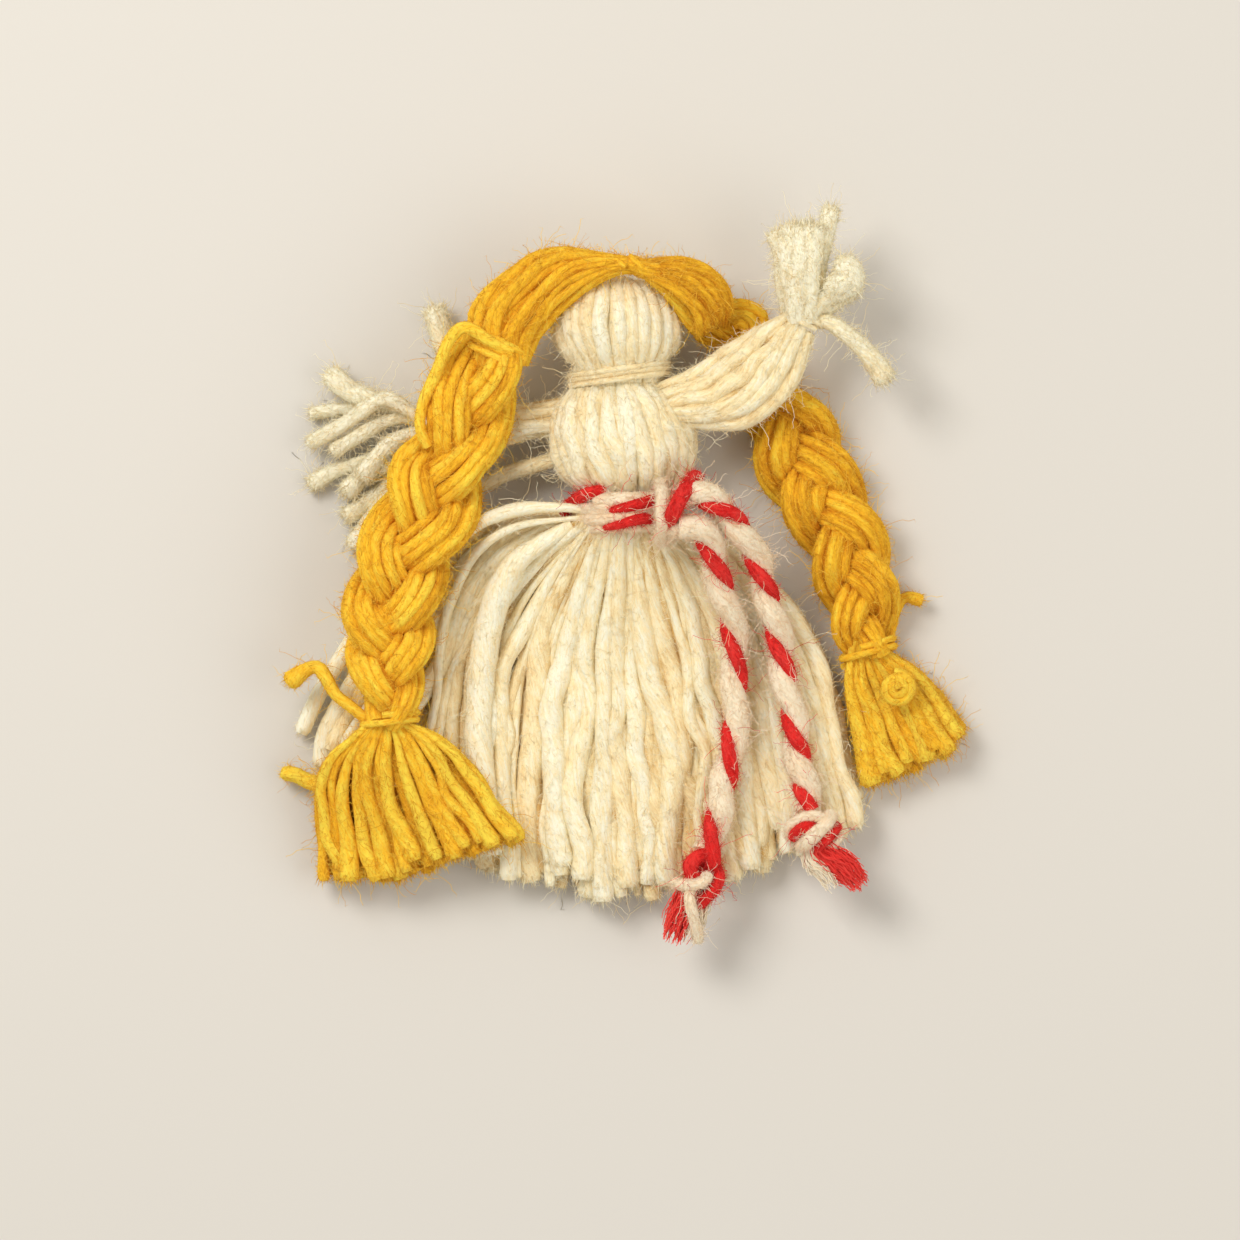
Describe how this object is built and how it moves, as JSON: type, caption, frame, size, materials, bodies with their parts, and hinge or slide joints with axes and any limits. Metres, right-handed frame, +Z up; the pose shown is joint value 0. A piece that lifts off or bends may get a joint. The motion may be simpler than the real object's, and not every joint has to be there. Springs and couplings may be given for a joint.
{
  "type": "yarn doll",
  "caption": "Doll tied from hanks of wool yarn, with a fanned skirt, tied arms, braided hair and a twisted cord round its waist, lying on its back.",
  "frame": {"origin": "middle of the flat of the bust's back, on the surface that the doll lies on", "axes": "+Z up out of the doll's front, +Y from the waist to the crown, +X to the doll's left hand"},
  "size_m": [0.0845, 0.0915, 0.0171],
  "materials": {
    "undyed_wool": "matte fuzzy wool yarn",
    "yellow_wool": "matte fuzzy wool yarn",
    "red_white_cord": "matte two-ply wool cord"
  },
  "bodies": {
    "torso": {"bust": "undyed_wool", "left_cord_end_knot": "red_white_cord", "left_cord_tail": "red_white_cord", "left_cord_tuft": "red_white_cord", "neck_tie": "undyed_wool", "right_cord_end_knot": "red_white_cord", "right_cord_tail": "red_white_cord", "right_cord_tuft": "red_white_cord", "skirt_under_lock_1": "undyed_wool", "skirt_under_lock_2": "undyed_wool", "skirt_under_lock_3": "undyed_wool", "skirt_under_lock_4": "undyed_wool", "skirt_under_lock_5": "undyed_wool", "skirt_under_lock_6": "undyed_wool", "skirt_under_lock_7": "undyed_wool", "skirt_upper_lock_1": "undyed_wool", "skirt_upper_lock_2": "undyed_wool", "skirt_upper_lock_3": "undyed_wool", "skirt_upper_lock_4": "undyed_wool", "skirt_upper_lock_5": "undyed_wool", "skirt_upper_lock_6": "undyed_wool", "waist_cord": "red_white_cord", "waist_knot": "red_white_cord"},
    "head": {"head": "undyed_wool", "left_hair_lock": "yellow_wool", "left_temple_tie": "yellow_wool", "parting_tie": "yellow_wool", "right_hair_lock": "yellow_wool", "right_temple_tie": "yellow_wool"},
    "left_arm": {"left_arm": "undyed_wool", "left_hand_strand_1": "undyed_wool", "left_hand_strand_2": "undyed_wool", "left_hand_strand_3": "undyed_wool", "left_hand_strand_4": "undyed_wool", "left_hand_strand_5": "undyed_wool", "left_wrist_tie": "undyed_wool", "left_wrist_tie_end": "undyed_wool"},
    "right_arm": {"right_arm": "undyed_wool", "right_hand_strand_1": "undyed_wool", "right_hand_strand_2": "undyed_wool", "right_hand_strand_3": "undyed_wool", "right_hand_strand_4": "undyed_wool", "right_hand_strand_5": "undyed_wool", "right_hand_strand_6": "undyed_wool", "right_hand_strand_7": "undyed_wool", "right_wrist_tie": "undyed_wool", "right_wrist_tie_end": "undyed_wool"},
    "left_braid": {"left_braid": "yellow_wool", "left_braid_tie": "yellow_wool", "left_braid_tie_end": "yellow_wool"},
    "right_braid": {"right_braid": "yellow_wool", "right_braid_tie": "yellow_wool", "right_braid_tie_end": "yellow_wool"},
    "left_tassel": {"left_tassel": "yellow_wool"},
    "right_tassel": {"right_tassel": "yellow_wool"}
  },
  "joints": [
    {"name": "head_tilt", "type": "hinge", "parent": "torso", "child": "head", "pos_m": [-0.00044, 0.0099, 0.007], "axis": [0, 0, 1], "range_deg": [0, 5]},
    {"name": "left_arm_swing", "type": "hinge", "parent": "torso", "child": "left_arm", "pos_m": [0.01153, 0.00477, 0.00938], "axis": [0, 0, 1], "range_deg": [-40, 10]},
    {"name": "right_arm_swing", "type": "hinge", "parent": "torso", "child": "right_arm", "pos_m": [-0.01158, 0.00157, 0.00518], "axis": [0, 0, 1], "range_deg": [-30, 8]},
    {"name": "left_braid_swing", "type": "hinge", "parent": "head", "child": "left_braid", "pos_m": [0.01701, 0.0072, 0.00354], "axis": [0, 0, 1], "range_deg": [0, 25]},
    {"name": "right_braid_swing", "type": "hinge", "parent": "head", "child": "right_braid", "pos_m": [-0.01769, 0.00571, 0.0096], "axis": [0, 0, 1], "range_deg": [-20, 4]},
    {"name": "left_tassel_swing", "type": "hinge", "parent": "left_braid", "child": "left_tassel", "pos_m": [0.02994, -0.03083, 0.00234], "axis": [0, 0, 1], "range_deg": [0, 20]},
    {"name": "right_tassel_swing", "type": "hinge", "parent": "right_braid", "child": "right_tassel", "pos_m": [-0.0286, -0.03964, 0.00854], "axis": [0, 0, 1], "range_deg": [-20, 10]}
  ]
}
